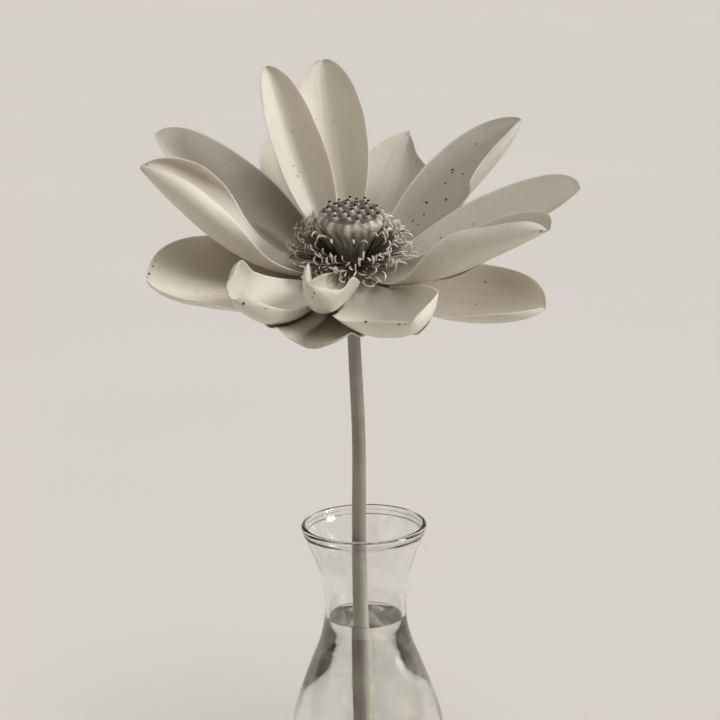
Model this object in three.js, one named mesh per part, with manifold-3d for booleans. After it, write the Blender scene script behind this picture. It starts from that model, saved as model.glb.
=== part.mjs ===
import * as THREE from 'three';
import Module from 'manifold-3d';

const wasm = await Module();
wasm.setup();

// Sizes in millimetres, Z up, origin at the middle of the vase's underside

const GAP = 0.3;
const DEG = Math.PI / 180;

// Glass carafe
const VASE_SIDES = 40;
const WALL = 2.4;
const FLOOR_TOP = 7;
const VASE_BODY = [
  [33.0, 1.4], [37.4, 9], [41.2, 24], [43.5, 41], [44.0, 56], [43.3, 69], [41.4, 79],
  [35.4, 97.2], [31.0, 108.7], [26.6, 120], [23.8, 131], [23.0, 142], [24.5, 157.7],
  [27.3, 167.8], [31.4, 178.9], [33.2, 184.0],
];
const RIM_BEAD = [
  [34.1, 184.6], [34.3, 186.4], [34.9, 187.2], [35.1, 188.5], [34.3, 189.8],
  [33.0, 189.8], [32.3, 188.6], [31.7, 186.0],
];

// Water up to the waist
const WATER_TOP = 134.5;
const MENISCUS = 1.4;
const HOLE_MARGIN = 0.35;

// Stem: leans from the back of the vase floor over the front of the rim
const STEM_PATH = [
  [1.5, 20.0, 8.6], [-0.6, 8.4, 53], [-2.2, -7.0, 115], [-2.7, -15.7, 150.6],
  [-2.8, -24.4, 187], [-1.8, -43.0, 252.3], [-2.8, -54.4, 292.5], [-3.5, -60.6, 318],
  [-3.4, -66.8, 341],
];
const STEM_FOOT_RADIUS = 4.9;
const STEM_TOP_RADIUS = 3.1;
const STEM_SIDES = 10;
const STEM_RINGS = 22;

// Flower frame: its origin is the middle of the whorl, its axis leans forward
const BLOOM_POSITION = [-3.4, -69.6, 353.8];
const BLOOM_TILT = 14.6;

// Seed pod: an upturned cone with a gently domed top, and its narrow neck
const POD_SIDES = 20;
const POD_PROFILE = [
  [3.2, -12.8], [5.8, -12.3], [7.7, -11.2], [8.3, -9.6], [8.3, -2.6], [6.6, -1.9],
  [6.2, 0.4], [6.5, 4], [8.6, 9], [11.6, 15],
  [14.6, 20.5], [16.2, 24], [16.3, 26.2], [14.8, 27.7],
];
const POD_RIBS = 11;
const POD_RIB_DEPTH = 0.45;
const CARPELS = 27;
const CARPEL_SPREAD = 14.6;
const CARPEL_RADIUS = 1.35;
const CARPEL_HEIGHT = 0.75;
const DOME_HEIGHT = 1.8;

// Stamens: a low collar round the pod's neck carries them
const COLLAR_INNER = 6.9;
const COLLAR_OUTER = 9.0;
const COLLAR_BOTTOM = -1.0;
const COLLAR_TOP = 2.0;
const STAMENS = 84;
const STAMEN_SPACING = 1.25;
const STAMEN_SIDES = 3;
const STAMEN_RADII = [0.55, 0.5, 0.5, 0.62, 0.88, 0.55];
const PETAL_CLEARANCE = 1.8;

// Petals
const SHEET_ROWS = 44;
const SHEET_COLUMNS = 24;
const ROW_STEP = 4;
const COLUMN_STEP = 3;
const BLADE = 0.8;
const CLAW_BLADE = 1.3;
const CLAW_RADIUS = 8.95;
const PRESS_GAP = 2.1;
const PRESS_REACH = 13;

// One row for each petal. turn: azimuth of the midrib, counted from the right towards the
// back. rise: slope of the midrib at claw, middle and tip. cupL and cupR: how far the left
// and right halves are turned up at their margins, at claw and at tip. roll: turn about the
// midrib at claw and tip. hem: extra curl of the left and right margins near the tip.
// share: breadth of the left and right halves. lifts: places where the blade is drawn aside;
// along runs from claw 0 to tip 1 and side from right margin -1 to left margin 1.
const PETALS = {
  a: { turn: 126, rise: [42, 54, 66], long: 110, wide: 40, cupL: [60, 70], cupR: [115, 80],
    low: -4.6, clawRadius: 9.5, widest: 0.52, tipPower: 0.5 },
  b: { turn: 100, rise: [40, 51, 60], long: 110, wide: 43, cupL: [60, 50], cupR: [70, 60],
    low: -4.6, clawRadius: 9.3, tipPower: 0.5 },
  c: { turn: 111, rise: [14, 22, 28], long: 108, wide: 50, cupL: [40, 40], cupR: [40, 40],
    low: -9.3, clawRadius: 7.25 },
  d: { turn: 152, rise: [17, 29, 37], long: 120, wide: 52, cupL: [50, 50], cupR: [40, 30], low: -6,
    tipPower: 0.48 },
  e: { turn: 187, rise: [-6, 41, 48], long: 121, wide: 63, cupL: [42, 97], cupR: [10, 55], low: -5.6,
    roll: [6, -13], hem: [92, 102], widest: 0.69, tipPower: 0.64 },
  f: { turn: 195, rise: [-2, 9, 18], long: 99, wide: 56, cupL: [30, 30], cupR: [40, 30], low: -8.6,
    roll: [-20, -30], hem: [70, 0], tipPower: 0.45 },
  g: { turn: 231, rise: [4, 8, 66], long: 93, wide: 50, cupL: [80, 110], cupR: [10, 88], low: -7.2,
    roll: [0, -35], hem: [0, 28], tipPower: 0.34, widest: 0.64,
    lifts: [{ along: 0.9, side: -0.95, length: 0.15, breadth: 0.8, by: [-3.5, 0, 8.5] }] },
  h: { turn: 255, rise: [0, 2, 0], long: 71, wide: 56, cupL: [50, 50], cupR: [50, 50], low: -9.8,
    tipPower: 0.3, widest: 0.7 },
  i: { turn: 254.5, rise: [14, 9, 92], long: 80, wide: 44, cupL: [70, 80], cupR: [110, 125],
    low: -4.8, clawRadius: 9.1, roll: [-10, -14], share: [1, 0.9],
    lifts: [
      { along: 0.86, side: -1, length: 0.08, breadth: 0.55, by: [-1, 0, 11.5] },
      { along: 0.6, side: 1, length: 0.24, breadth: 0.5, by: [-3, 0, 11] },
    ] },
  j: { turn: 287, rise: [2, 2, 66], long: 92.5, wide: 65, cupL: [66, 84], cupR: [45, 50], low: -6.6,
    tipPower: 0.56, widest: 0.62 },
  k: { turn: 297, rise: [0, 1, 0], long: 60, wide: 37, cupL: [40, 40], cupR: [40, 40], low: -10.8,
    tipPower: 0.5 },
  l: { turn: 343, rise: [-14, -5, 20], long: 94, wide: 52, cupL: [40, 50], cupR: [40, 50], low: -9.2,
    roll: [15, 15], hem: [0, 60], tipPower: 0.38 },
  m: { turn: 331, rise: [-8, 31, 32], long: 113, wide: 62, cupL: [112, 100], cupR: [30, 80],
    low: -4.9, roll: [8, -27], hem: [-45, 82], widest: 0.62, tipPower: 0.5,
    lifts: [{ along: 0.84, side: -1, length: 0.17, breadth: 0.7, by: [0, -1, -5.5] },
      { along: 0.42, side: 1, length: 0.22, breadth: 0.7, by: [0, 0, -6] }] },
  n: { turn: 357, rise: [16, 26, 28], long: 117, wide: 46, cupL: [28, 28], cupR: [40, 40], low: -6.9,
    roll: [16, 11], tipPower: 0.44 },
  o: { turn: 34, rise: [18, 30, 39], long: 115, wide: 48, cupL: [45, 45], cupR: [45, 45], low: -5,
    hem: [0, 120] },
  p: { turn: 73, rise: [10, 18, 28], long: 109, wide: 47, cupL: [40, 40], cupR: [40, 40], low: -8,
    tipPower: 0.85,
    lifts: [{ along: 0.86, side: -1, length: 0.13, breadth: 0.6, by: [-5, 0, -3] }] },
};

// Where two petals lie on each other, the first one is the upper one
const LAYERS = [
  ['i', 'j'], ['i', 'g'], ['j', 'k'], ['j', 'h'], ['g', 'h'], ['g', 'f'], ['h', 'k'],
  ['e', 'f'], ['e', 'd'], ['a', 'b'], ['a', 'd'], ['m', 'n'], ['m', 'l'], ['n', 'o'], ['o', 'p'],
  ['b', 'p'], ['n', 'l'], ['m', 'j'], ['m', 'k'], ['d', 'f'], ['a', 'c'], ['b', 'c'], ['p', 'c'],
  ['d', 'c'], ['j', 'l'],
];

// Colours of the sepia picture
const COLOURS = {
  vase: 0xdfe2e0,
  water: 0xe4e8e6,
  stem: 0x8a7a64,
  pod: 0x9c8a70,
  stamens: 0xd9c9ac,
  petal: 0xe6dac4,
};

const petalSheets = {};

function seeded(seed) {
  let state = seed;
  return () => {
    state = (state * 1664525 + 1013904223) % 4294967296;
    return state / 4294967296;
  };
}

// Closed bodies as lists of points and triangles

function body() {
  return { points: [], faces: [] };
}

function addPoint(shape, p) {
  shape.points.push(p);
  return shape.points.length - 1;
}

function addQuad(shape, a, b, c, d) {
  shape.faces.push([a, b, c], [a, c, d]);
}

function toManifold(shape) {
  const mesh = new wasm.Mesh({
    numProp: 3,
    vertProperties: new Float32Array(shape.points.flat()),
    triVerts: new Uint32Array(shape.faces.flat()),
  });
  return new wasm.Manifold(mesh);
}

function fromManifold(solid) {
  const mesh = solid.getMesh();
  const shape = body();
  for (let i = 0; i < mesh.vertProperties.length; i += mesh.numProp) {
    shape.points.push(Array.from(mesh.vertProperties.slice(i, i + 3)));
  }
  for (let i = 0; i < mesh.triVerts.length; i += 3) {
    shape.faces.push(Array.from(mesh.triVerts.slice(i, i + 3)));
  }
  return shape;
}

function toMesh(name, shape, look) {
  const geometry = new THREE.BufferGeometry();
  geometry.setAttribute('position', new THREE.Float32BufferAttribute(shape.points.flat(), 3));
  geometry.setIndex(shape.faces.flat());
  geometry.computeVertexNormals();
  const mesh = new THREE.Mesh(geometry, new THREE.MeshStandardMaterial(look));
  mesh.name = name;
  return mesh;
}

// A profile of [radius, height] pairs turned round Z; both ends lie on the axis
function turned(profile, sides, ribs = 0, ribDepth = 0) {
  const shape = body();
  const rings = profile.map(([radius, height]) => {
    if (radius < 1e-6) return [addPoint(shape, [0, 0, height])];
    const ring = [];
    for (let i = 0; i < sides; i += 1) {
      const angle = (i / sides) * 2 * Math.PI;
      const r = radius * (1 + (ribDepth / 16) * Math.cos(ribs * angle));
      ring.push(addPoint(shape, [r * Math.cos(angle), r * Math.sin(angle), height]));
    }
    return ring;
  });
  for (let k = 0; k + 1 < rings.length; k += 1) {
    const low = rings[k];
    const high = rings[k + 1];
    for (let i = 0; i < sides; i += 1) {
      const j = (i + 1) % sides;
      if (low.length === 1) shape.faces.push([low[0], high[j], high[i]]);
      else if (high.length === 1) shape.faces.push([low[i], low[j], high[0]]);
      else addQuad(shape, low[i], low[j], high[j], high[i]);
    }
  }
  return shape;
}

// A round bar through a list of centres with a radius at each
function bar(centres, radii, sides) {
  const shape = body();
  const count = centres.length;
  let side = new THREE.Vector3(1, 0, 0);
  const rings = [];
  for (let k = 0; k < count; k += 1) {
    const before = centres[Math.max(k - 1, 0)];
    const after = centres[Math.min(k + 1, count - 1)];
    const along = after.clone().sub(before).normalize();
    if (Math.abs(side.dot(along)) > 0.95) side = new THREE.Vector3(0, 1, 0);
    side.sub(along.clone().multiplyScalar(side.dot(along))).normalize();
    const up = along.clone().cross(side);
    const ring = [];
    for (let i = 0; i < sides; i += 1) {
      const angle = (i / sides) * 2 * Math.PI;
      const p = centres[k].clone();
      p.addScaledVector(side, radii[k] * Math.cos(angle));
      p.addScaledVector(up, radii[k] * Math.sin(angle));
      ring.push(addPoint(shape, p.toArray()));
    }
    rings.push(ring);
    side = side.clone();
  }
  for (let k = 0; k + 1 < count; k += 1) {
    for (let i = 0; i < sides; i += 1) {
      const j = (i + 1) % sides;
      addQuad(shape, rings[k][i], rings[k][j], rings[k + 1][j], rings[k + 1][i]);
    }
  }
  for (let i = 1; i + 1 < sides; i += 1) {
    shape.faces.push([rings[0][0], rings[0][i + 1], rings[0][i]]);
    shape.faces.push([rings[count - 1][0], rings[count - 1][i], rings[count - 1][i + 1]]);
  }
  return shape;
}

// Flower frame

const bloomAxis = new THREE.Vector3(0, -Math.sin(BLOOM_TILT * DEG), Math.cos(BLOOM_TILT * DEG));
const bloomRight = new THREE.Vector3(1, 0, 0);
const bloomBack = bloomAxis.clone().cross(bloomRight);
const bloomOrigin = new THREE.Vector3(...BLOOM_POSITION);

function fromBloom(p) {
  const q = bloomOrigin.clone();
  q.addScaledVector(bloomRight, p[0]);
  q.addScaledVector(bloomBack, p[1]);
  q.addScaledVector(bloomAxis, p[2]);
  return q.toArray();
}

function inBloom(shape) {
  return { points: shape.points.map(fromBloom), faces: shape.faces };
}

// Vase and water

function inwards(profile, distance) {
  return profile.map((point, k) => {
    const before = profile[Math.max(k - 1, 0)];
    const after = profile[Math.min(k + 1, profile.length - 1)];
    const dr = after[0] - before[0];
    const dz = after[1] - before[1];
    const size = Math.hypot(dr, dz);
    return [point[0] - (distance * dz) / size, point[1] + (distance * dr) / size];
  });
}

function radiusAt(profile, height) {
  for (let k = 0; k + 1 < profile.length; k += 1) {
    const [r0, z0] = profile[k];
    const [r1, z1] = profile[k + 1];
    if (height >= z0 && height <= z1) return r0 + ((r1 - r0) * (height - z0)) / (z1 - z0);
  }
  return profile[0][0];
}

const innerWall = inwards(VASE_BODY, WALL).filter((p) => p[1] > FLOOR_TOP + 4 && p[1] < 184);
const innerFoot = [[28.5, FLOOR_TOP], [33.6, FLOOR_TOP + 2.2]];

function vase() {
  const profile = [[0, 0], [30.4, 0], ...VASE_BODY, ...RIM_BEAD];
  profile.push(...[...innerFoot, ...innerWall].reverse(), [0, FLOOR_TOP]);
  return turned(profile, VASE_SIDES);
}

function water(stemCentres, stemRadii) {
  const wetWall = [...innerFoot, ...innerWall];
  const profile = [[0, FLOOR_TOP + GAP]];
  wetWall.forEach(([radius, height], k) => {
    if (height < WATER_TOP - 1) profile.push([radius - GAP, k < 2 ? height + GAP : height]);
  });
  const edge = WATER_TOP + MENISCUS;
  profile.push([radiusAt(innerWall, edge) - GAP, edge]);
  profile.push([radiusAt(innerWall, WATER_TOP) - GAP - 0.9, WATER_TOP + 0.5]);
  profile.push([radiusAt(innerWall, WATER_TOP) - GAP - 2.6, WATER_TOP], [0, WATER_TOP]);
  const wide = stemRadii.map((r) => (r + HOLE_MARGIN) / Math.cos(Math.PI / STEM_SIDES));
  const longer = stemCentres.map((p) => p.clone());
  longer[0].addScaledVector(stemCentres[0].clone().sub(stemCentres[1]).normalize(), 4);
  return toManifold(turned(profile, VASE_SIDES)).subtract(toManifold(bar(longer, wide, STEM_SIDES)));
}

// Petals

function halfWidth(petal, s) {
  const widest = petal.widest ?? 0.58;
  const claw = petal.claw ?? 0.125;
  if (s < widest) {
    const grown = Math.sin((Math.PI / 2) * (s / widest)) ** 1.15;
    return (petal.wide / 2) * (claw + (1 - claw) * grown);
  }
  const t = (s - widest) / (1 - widest);
  return (petal.wide / 2) * (1 - t ** 2.2) ** (petal.tipPower ?? 0.62);
}

function slope([claw, middle, tip], s) {
  return claw * (1 - s) * (1 - 2 * s) + middle * 4 * s * (1 - s) + tip * s * (2 * s - 1);
}

// Middle surface of a petal as rows of points from claw to tip, left margin last
function petalSheet(petal) {
  const fine = 400;
  const azimuth = petal.turn * DEG;
  const roll = petal.roll ?? [0, 0];
  const hem = petal.hem ?? [0, 0];
  const claw = petal.clawRadius ?? CLAW_RADIUS;
  const spine = [new THREE.Vector3(claw * Math.cos(azimuth), claw * Math.sin(azimuth), petal.low)];
  const radial = new THREE.Vector3(Math.cos(azimuth), Math.sin(azimuth), 0);
  const sideways = new THREE.Vector3(-Math.sin(azimuth), Math.cos(azimuth), 0);
  for (let k = 0; k < fine; k += 1) {
    const angle = slope(petal.rise, (k + 0.5) / fine) * DEG;
    const next = spine[k].clone();
    next.addScaledVector(radial, (Math.cos(angle) * petal.long) / fine);
    next.z += (Math.sin(angle) * petal.long) / fine;
    spine.push(next);
  }
  const rows = [];
  for (let i = 0; i <= SHEET_ROWS; i += 1) {
    const u = i / SHEET_ROWS;
    const s = Math.min(0.35 * u + 0.65 * (1 - (1 - u) ** 1.6), 0.998);
    const at = Math.min(Math.floor(s * fine), fine - 1);
    const middle = spine[at].clone().lerp(spine[at + 1], s * fine - at);
    const angle = slope(petal.rise, s) * DEG;
    const across = sideways.clone();
    const up = radial.clone().multiplyScalar(-Math.sin(angle));
    up.z += Math.cos(angle);
    const turn = (roll[0] + (roll[1] - roll[0]) * s) * DEG;
    const left = across.clone().multiplyScalar(Math.cos(turn)).addScaledVector(up, Math.sin(turn));
    const face = up.clone().multiplyScalar(Math.cos(turn)).addScaledVector(across, -Math.sin(turn));
    const reach = halfWidth(petal, s);
    const near = Math.min(Math.max((s - 0.3) / 0.5, 0), 1);
    const hemShare = near * near * (3 - 2 * near);
    const share = petal.share ?? [1, 1];
    const halves = [-1, 1].map((sign) => {
      const cup = sign > 0 ? petal.cupL : petal.cupR;
      const part = sign > 0 ? share[0] : share[1];
      const bend = (cup[0] + (cup[1] - cup[0]) * s) * DEG;
      const curl = (sign > 0 ? hem[0] : hem[1]) * DEG * hemShare;
      const steps = 36;
      const line = [[0, 0]];
      for (let k = 0; k < steps; k += 1) {
        const f = (k + 0.5) / steps;
        const heading = bend * f + curl * f ** 3;
        const [x, y] = line[k];
        const stride = part / steps;
        line.push([x + stride * Math.cos(heading), y + stride * Math.sin(heading)]);
      }
      return line;
    });
    const row = [];
    for (let j = 0; j <= SHEET_COLUMNS; j += 1) {
      const v = (2 * j) / SHEET_COLUMNS - 1;
      const line = halves[v < 0 ? 0 : 1];
      const [x, y] = line[Math.round(Math.abs(v) * 36)];
      const point = middle.clone();
      point.addScaledVector(left, Math.sign(v) * x * reach);
      point.addScaledVector(face, y * reach);
      for (const lift of petal.lifts ?? []) {
        const behind = (s - lift.along) / lift.length;
        const beside = (v - lift.side) / lift.breadth;
        point.addScaledVector(new THREE.Vector3(...lift.by), Math.exp(-(behind ** 2) - beside ** 2));
      }
      row.push(point);
    }
    rows.push(row);
  }
  return rows;
}

function sheetNormals(rows) {
  return rows.map((row, i) => row.map((_, j) => {
    const along = rows[Math.min(i + 1, SHEET_ROWS)][j].clone().sub(rows[Math.max(i - 1, 0)][j]);
    const across = row[Math.min(j + 1, SHEET_COLUMNS)].clone().sub(row[Math.max(j - 1, 0)]);
    return along.cross(across).normalize();
  }));
}

// The lower petal gives way wherever the upper one would cut into it
function pressUnder(lower, upper) {
  const normals = sheetNormals(upper);
  const points = upper.flat();
  const facing = normals.flat();
  const push = lower.map((row) => row.map(() => null));
  let touched = false;
  lower.forEach((row, i) => row.forEach((point, j) => {
    let best = 1e9;
    let at = 0;
    for (let k = 0; k < points.length; k += 1) {
      const d = points[k].distanceToSquared(point);
      if (d < best) {
        best = d;
        at = k;
      }
    }
    const offset = point.clone().sub(points[at]);
    const height = offset.dot(facing[at]);
    const aside = Math.sqrt(Math.max(best - height * height, 0));
    const weight = Math.min(Math.max((7 - aside) / 4, 0), 1);
    const need = (height + PRESS_GAP) * weight;
    if (need > 0 && height < PRESS_REACH) {
      push[i][j] = facing[at].clone().multiplyScalar(-need);
      touched = true;
    }
  }));
  if (!touched) return;
  let field = push.map((row) => row.map((p) => (p ? p.clone() : new THREE.Vector3())));
  for (let pass = 0; pass < 14; pass += 1) {
    field = field.map((row, i) => row.map((value, j) => {
      if (push[i][j]) return value;
      const sum = new THREE.Vector3();
      let count = 0;
      for (const [di, dj] of [[-1, 0], [1, 0], [0, -1], [0, 1]]) {
        const other = field[i + di]?.[j + dj];
        if (other) {
          sum.add(other);
          count += 1;
        }
      }
      return sum.multiplyScalar(0.94 / count);
    }));
  }
  lower.forEach((row, i) => row.forEach((point, j) => point.add(field[i][j])));
}

for (const [key, petal] of Object.entries(PETALS)) petalSheets[key] = petalSheet(petal);
for (let round = 0; round < 4; round += 1) {
  for (const [upper, lower] of LAYERS) pressUnder(petalSheets[lower], petalSheets[upper]);
}

function petalBody(rows) {
  const normals = sheetNormals(rows);
  const shape = body();
  const faces = [1, -1].map((sign) => {
    const grid = [];
    for (let i = 0; i <= SHEET_ROWS; i += ROW_STEP) {
      const line = [];
      for (let j = 0; j <= SHEET_COLUMNS; j += COLUMN_STEP) {
        const claw = Math.max(1 - i / (SHEET_ROWS * 0.4), 0);
        const half = (BLADE + (CLAW_BLADE - BLADE) * claw) / 2;
        const p = rows[i][j].clone().addScaledVector(normals[i][j], sign * half);
        line.push(addPoint(shape, fromBloom(p.toArray())));
      }
      grid.push(line);
    }
    return grid;
  });
  const [inner, outer] = faces;
  const lastRow = inner.length - 1;
  const lastColumn = inner[0].length - 1;
  for (let i = 0; i < lastRow; i += 1) {
    for (let j = 0; j < lastColumn; j += 1) {
      addQuad(shape, inner[i][j], inner[i + 1][j], inner[i + 1][j + 1], inner[i][j + 1]);
      shape.faces.push([outer[i][j], outer[i + 1][j + 1], outer[i + 1][j]]);
      shape.faces.push([outer[i][j], outer[i][j + 1], outer[i + 1][j + 1]]);
    }
    addQuad(shape, inner[i][0], outer[i][0], outer[i + 1][0], inner[i + 1][0]);
    addQuad(shape, inner[i][lastColumn], inner[i + 1][lastColumn],
      outer[i + 1][lastColumn], outer[i][lastColumn]);
  }
  for (let j = 0; j < lastColumn; j += 1) {
    addQuad(shape, inner[0][j], inner[0][j + 1], outer[0][j + 1], outer[0][j]);
    addQuad(shape, inner[lastRow][j], outer[lastRow][j],
      outer[lastRow][j + 1], inner[lastRow][j + 1]);
  }
  return shape;
}

// Seed pod with raised carpels

function seedPod() {
  const top = POD_PROFILE[POD_PROFILE.length - 1];
  const domed = [1, 0.66, 0.33].map((share) => [top[0] * share, top[1] + DOME_HEIGHT * (1 - share ** 2)]);
  const profile = [[0, POD_PROFILE[0][1]], ...POD_PROFILE, ...domed.slice(1), [0, top[1] + DOME_HEIGHT]];
  let solid = toManifold(turned(profile, POD_SIDES, POD_RIBS, POD_RIB_DEPTH));
  const random = seeded(7);
  for (let k = 0; k < CARPELS; k += 1) {
    const radius = CARPEL_SPREAD * Math.sqrt((k + 0.45) / CARPELS);
    const angle = k * 137.5 * DEG;
    const size = CARPEL_RADIUS * (0.9 + 0.2 * random());
    const ground = top[1] + DOME_HEIGHT * (1 - (radius / top[0]) ** 2);
    const rise = CARPEL_HEIGHT * (0.85 + 0.3 * random());
    const dome = turned([
      [0, ground - 1.4], [size, ground - 1.4], [size, ground + rise * 0.45],
      [size * 0.55, ground + rise], [0, ground + rise * 0.75],
    ], 7);
    dome.points = dome.points.map(([x, y, z]) => [
      x + radius * Math.cos(angle), y + radius * Math.sin(angle), z,
    ]);
    solid = solid.add(toManifold(dome));
  }
  return inBloom(fromManifold(solid));
}

// Stamens: thin stalks that widen into the anther and end in a curled tip

function stamenCentres(azimuth, rise, length, curl, sway, height) {
  const centres = [];
  const steps = STAMEN_RADII.length - 1;
  let position = new THREE.Vector3(8.6 * Math.cos(azimuth), 8.6 * Math.sin(azimuth), height);
  let heading = azimuth;
  let angle = rise;
  for (let k = 0; k <= steps; k += 1) {
    centres.push(position.clone());
    const share = k / steps;
    angle = rise + curl * share * share * DEG;
    heading = azimuth + sway * share * DEG;
    const stride = length / steps;
    position = position.clone();
    position.x += stride * Math.cos(angle) * Math.cos(heading);
    position.y += stride * Math.cos(angle) * Math.sin(heading);
    position.z += stride * Math.sin(angle);
  }
  return centres;
}

const petalCloud = Object.values(petalSheets).flatMap((rows) => rows.flat());

function clearsPetals(centres) {
  return centres.slice(1).every((p) => (
    petalCloud.every((q) => q.distanceToSquared(p) > PETAL_CLEARANCE ** 2)
  ));
}

function between(centres) {
  const dense = [];
  for (let k = 0; k + 1 < centres.length; k += 1) {
    for (let t = 0; t < 3; t += 1) dense.push(centres[k].clone().lerp(centres[k + 1], t / 3));
  }
  dense.push(centres[centres.length - 1]);
  return dense;
}

function clearsOthers(centres, others) {
  return between(centres).every((p) => (
    others.every((q) => q.distanceToSquared(p) > STAMEN_SPACING ** 2)
  ));
}

function podRadius(height) {
  return radiusAt(POD_PROFILE, height) + POD_RIB_DEPTH;
}

function clearsPod(centres) {
  return centres.every((p) => p.z > 30 || Math.hypot(p.x, p.y) > podRadius(p.z) + 1.3 || p.z < 0);
}

function stamens() {
  const ring = body();
  const sides = 24;
  const corners = [
    [COLLAR_INNER, COLLAR_BOTTOM], [COLLAR_OUTER, COLLAR_BOTTOM],
    [COLLAR_OUTER, COLLAR_TOP], [COLLAR_INNER + 0.6, COLLAR_TOP + 0.4],
  ];
  const grid = corners.map(([radius, height]) => {
    const line = [];
    for (let i = 0; i < sides; i += 1) {
      const angle = (i / sides) * 2 * Math.PI;
      line.push(addPoint(ring, [radius * Math.cos(angle), radius * Math.sin(angle), height]));
    }
    return line;
  });
  for (let k = 0; k < corners.length; k += 1) {
    const next = grid[(k + 1) % corners.length];
    for (let i = 0; i < sides; i += 1) {
      const j = (i + 1) % sides;
      addQuad(ring, grid[k][i], grid[k][j], next[j], next[i]);
    }
  }
  let solid = toManifold(ring);
  const others = [];
  const random = seeded(21);
  let placed = 0;
  for (let k = 0; k < STAMENS * 30 && placed < STAMENS; k += 1) {
    const azimuth = (k * 137.5 + 14 * (random() - 0.5)) * DEG;
    const layer = random();
    const front = Math.max(-Math.sin(azimuth), 0);
    const rise = ((10 + 52 * layer) * (1 - front) + (26 * layer - 4) * front) * DEG;
    const length = 22 + 10 * random() - 3 * layer;
    const curl = 20 + 70 * random();
    const sway = 40 * (random() - 0.5);
    const centres = stamenCentres(azimuth, rise, length, curl, sway, -0.8 + 2.0 * layer);
    if (!clearsPod(centres) || !clearsPetals(centres)) continue;
    if (!clearsOthers(centres, others)) continue;
    solid = solid.add(toManifold(bar(centres, STAMEN_RADII, STAMEN_SIDES)));
    others.push(...between(centres).slice(2));
    placed += 1;
  }
  return inBloom(fromManifold(solid));
}

// Stem centres along a smooth curve through the path

const stemCurve = new THREE.CatmullRomCurve3(STEM_PATH.map((p) => new THREE.Vector3(...p)));
const stemCentres = stemCurve.getSpacedPoints(STEM_RINGS);
const stemRadii = stemCentres.map((_, k) => (
  STEM_FOOT_RADIUS + (STEM_TOP_RADIUS - STEM_FOOT_RADIUS) * (k / STEM_RINGS)
));

const part = new THREE.Group();
part.name = 'cut_lotus_in_carafe';

part.add(toMesh('vase', vase(), {
  color: COLOURS.vase, roughness: 0.05, metalness: 0, transparent: true, opacity: 0.25,
}));
part.add(toMesh('water', fromManifold(water(stemCentres, stemRadii)), {
  color: COLOURS.water, roughness: 0.04, metalness: 0, transparent: true, opacity: 0.2,
}));
part.add(toMesh('stem', bar(stemCentres, stemRadii, STEM_SIDES), {
  color: COLOURS.stem, roughness: 0.65, metalness: 0,
}));
part.add(toMesh('seed_pod', seedPod(), { color: COLOURS.pod, roughness: 0.7, metalness: 0 }));
part.add(toMesh('stamens', stamens(), { color: COLOURS.stamens, roughness: 0.7, metalness: 0 }));
for (const key of Object.keys(PETALS)) {
  part.add(toMesh(`petal_${key}`, petalBody(petalSheets[key]), {
    color: COLOURS.petal, roughness: 0.6, metalness: 0,
  }));
}

export default part;
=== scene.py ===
import math
import random

import bpy
import numpy as np
from mathutils import Matrix, Vector, kdtree


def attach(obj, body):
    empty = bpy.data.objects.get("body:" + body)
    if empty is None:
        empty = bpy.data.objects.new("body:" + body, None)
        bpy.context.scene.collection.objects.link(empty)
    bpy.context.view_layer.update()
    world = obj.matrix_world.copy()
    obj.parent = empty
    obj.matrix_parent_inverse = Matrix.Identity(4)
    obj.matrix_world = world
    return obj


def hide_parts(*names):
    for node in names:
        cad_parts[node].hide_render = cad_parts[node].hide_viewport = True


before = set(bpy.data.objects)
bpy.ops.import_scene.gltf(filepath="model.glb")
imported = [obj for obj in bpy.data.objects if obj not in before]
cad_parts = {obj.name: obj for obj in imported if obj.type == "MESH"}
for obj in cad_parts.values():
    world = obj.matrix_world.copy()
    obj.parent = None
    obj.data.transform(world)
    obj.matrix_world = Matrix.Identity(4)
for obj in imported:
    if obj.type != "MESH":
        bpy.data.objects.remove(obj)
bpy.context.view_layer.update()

# Sizes are in millimetres, as in the part's source, and become metres when a mesh is made
MM = 0.001

# Glass carafe: outer profile from the foot to the collar, then the bead of the rim
WALL = 2.4
FLOOR_TOP = 7
VASE_BODY = [
    (30.4, 0), (32.2, 0.4), (33.0, 1.4), (37.4, 9), (41.2, 24), (43.5, 41), (44.0, 56), (43.3, 69),
    (41.4, 79), (35.4, 97.2), (31.0, 108.7), (26.6, 120), (23.8, 131), (23.0, 142), (24.5, 157.7),
    (27.3, 167.8), (31.4, 178.9), (33.2, 184.0),
]
RIM_BEAD = [
    (34.1, 184.6), (34.3, 186.4), (34.9, 187.2), (35.1, 188.5), (34.3, 189.8), (33.0, 189.8),
    (32.3, 188.6), (31.7, 186.0),
]
INNER_FOOT = [(0, FLOOR_TOP), (24, FLOOR_TOP), (28.5, FLOOR_TOP + 0.4), (33.6, 9.2)]
WATER_TOP = 134.5
TURN_SIDES = 180

# Haze on the glass: it grows between these two values of a noise, up to the third
GLASS_HAZE = (0.42, 0.75, 0.16)

# The water reaches a little into the glass, so that no air lies between them. Its edge rises
# near the wall; the steps are distances from it
WETTING = 0.12
MENISCUS = 1.4
MENISCUS_REACH = 1.1
MENISCUS_STEPS = (0.0, 0.15, 0.4, 0.8, 1.4, 2.2, 3.4, 5)

# Stem: from the back of the vase floor over the front of the rim to the flower
STEM_PATH = [
    (1.5, 20.0, 8.6), (-0.6, 8.4, 53), (-2.2, -7.0, 115), (-2.7, -15.7, 150.6), (-2.8, -24.4, 187),
    (-1.8, -43.0, 252.3), (-2.8, -54.4, 292.5), (-3.5, -60.6, 318), (-3.4, -66.8, 341),
]
STEM_FOOT_RADIUS = 4.9
STEM_TOP_RADIUS = 3.1
STEM_SIDES = 40
STEM_RINGS = 260
PRICKLES = 150
AIR_CANALS = 7
CANAL_RING = 2.5
CANAL_RADIUS = 0.72
CUT_DEPTH = 2.32

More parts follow.
